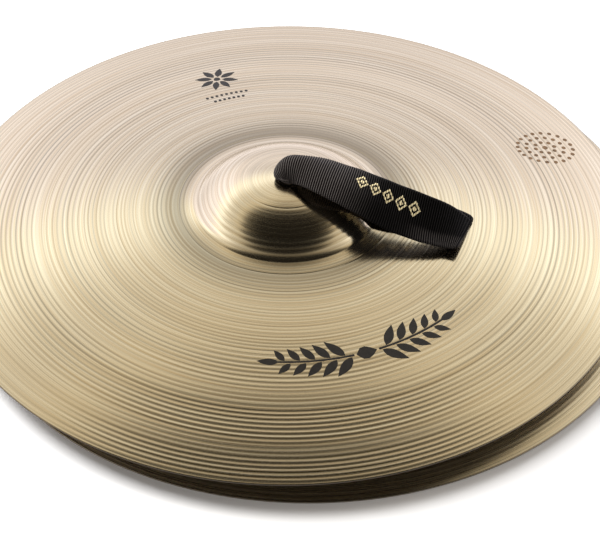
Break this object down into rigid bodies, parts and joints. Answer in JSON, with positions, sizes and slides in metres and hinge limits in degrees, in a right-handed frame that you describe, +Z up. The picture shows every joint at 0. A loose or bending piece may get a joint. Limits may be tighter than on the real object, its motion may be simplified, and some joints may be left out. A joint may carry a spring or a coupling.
{
  "type": "hand cymbals",
  "caption": "Matched lathe-turned bronze hand cymbals, nested bell up, each with a black webbing hand strap knotted inside the bell.",
  "frame": {"origin": "on the surface that the pair stands on, halfway between the axes of the two cymbals", "axes": "+Z up along the cymbals' axes, +X the way the upper hand strap lies"},
  "size_m": [0.5228, 0.5102, 0.0754],
  "materials": {
    "bronze": "lathe-grooved, satin to bright",
    "webbing": "ribbed black nylon webbing",
    "leather": "dark vegetable-tanned leather"
  },
  "bodies": {
    "lower_cymbal": {"lower_cymbal": "bronze", "lower_washer": "leather"},
    "lower_knot": {"lower_strap_neck": "webbing", "lower_knot": "webbing", "lower_tail_1": "webbing", "lower_tail_2": "webbing", "lower_tail_3": "webbing", "lower_tail_4": "webbing"},
    "lower_loop": {"lower_strap_loop": "webbing"},
    "upper_cymbal": {"upper_cymbal": "bronze", "upper_washer": "leather"},
    "upper_knot": {"upper_strap_neck": "webbing", "upper_knot": "webbing", "upper_tail_1": "webbing", "upper_tail_2": "webbing", "upper_tail_3": "webbing", "upper_tail_4": "webbing"},
    "upper_loop": {"upper_strap_loop": "webbing"}
  },
  "joints": [
    {"name": "upper_cymbal_lift", "type": "slide", "parent": "lower_cymbal", "child": "upper_cymbal", "axis": [0, 0, 1], "range_m": [0, 0.25]},
    {"name": "upper_strap_swivel", "type": "hinge", "parent": "upper_cymbal", "child": "upper_knot", "pos_m": [-0.00735, -0.0011, 0.066], "axis": [0, 0, 1], "continuous": true},
    {"name": "upper_strap_raise", "type": "hinge", "parent": "upper_knot", "child": "upper_loop", "pos_m": [-0.00735, -0.0011, 0.07086], "axis": [0, -1, 0], "range_deg": [0, 90]},
    {"name": "lower_strap_swivel", "type": "hinge", "parent": "lower_cymbal", "child": "lower_knot", "pos_m": [0.00735, 0.0011, 0.051], "axis": [0, 0, 1], "range_deg": [-75, 75]},
    {"name": "lower_strap_raise", "type": "hinge", "parent": "lower_knot", "child": "lower_loop", "pos_m": [0.00735, 0.0011, 0.05366], "axis": [0, 1, 0], "range_deg": [0, 90]}
  ],
  "couplings": [
    {"joint": "lower_strap_raise", "follows": "upper_cymbal_lift", "rad_per_m": 6.28}
  ]
}
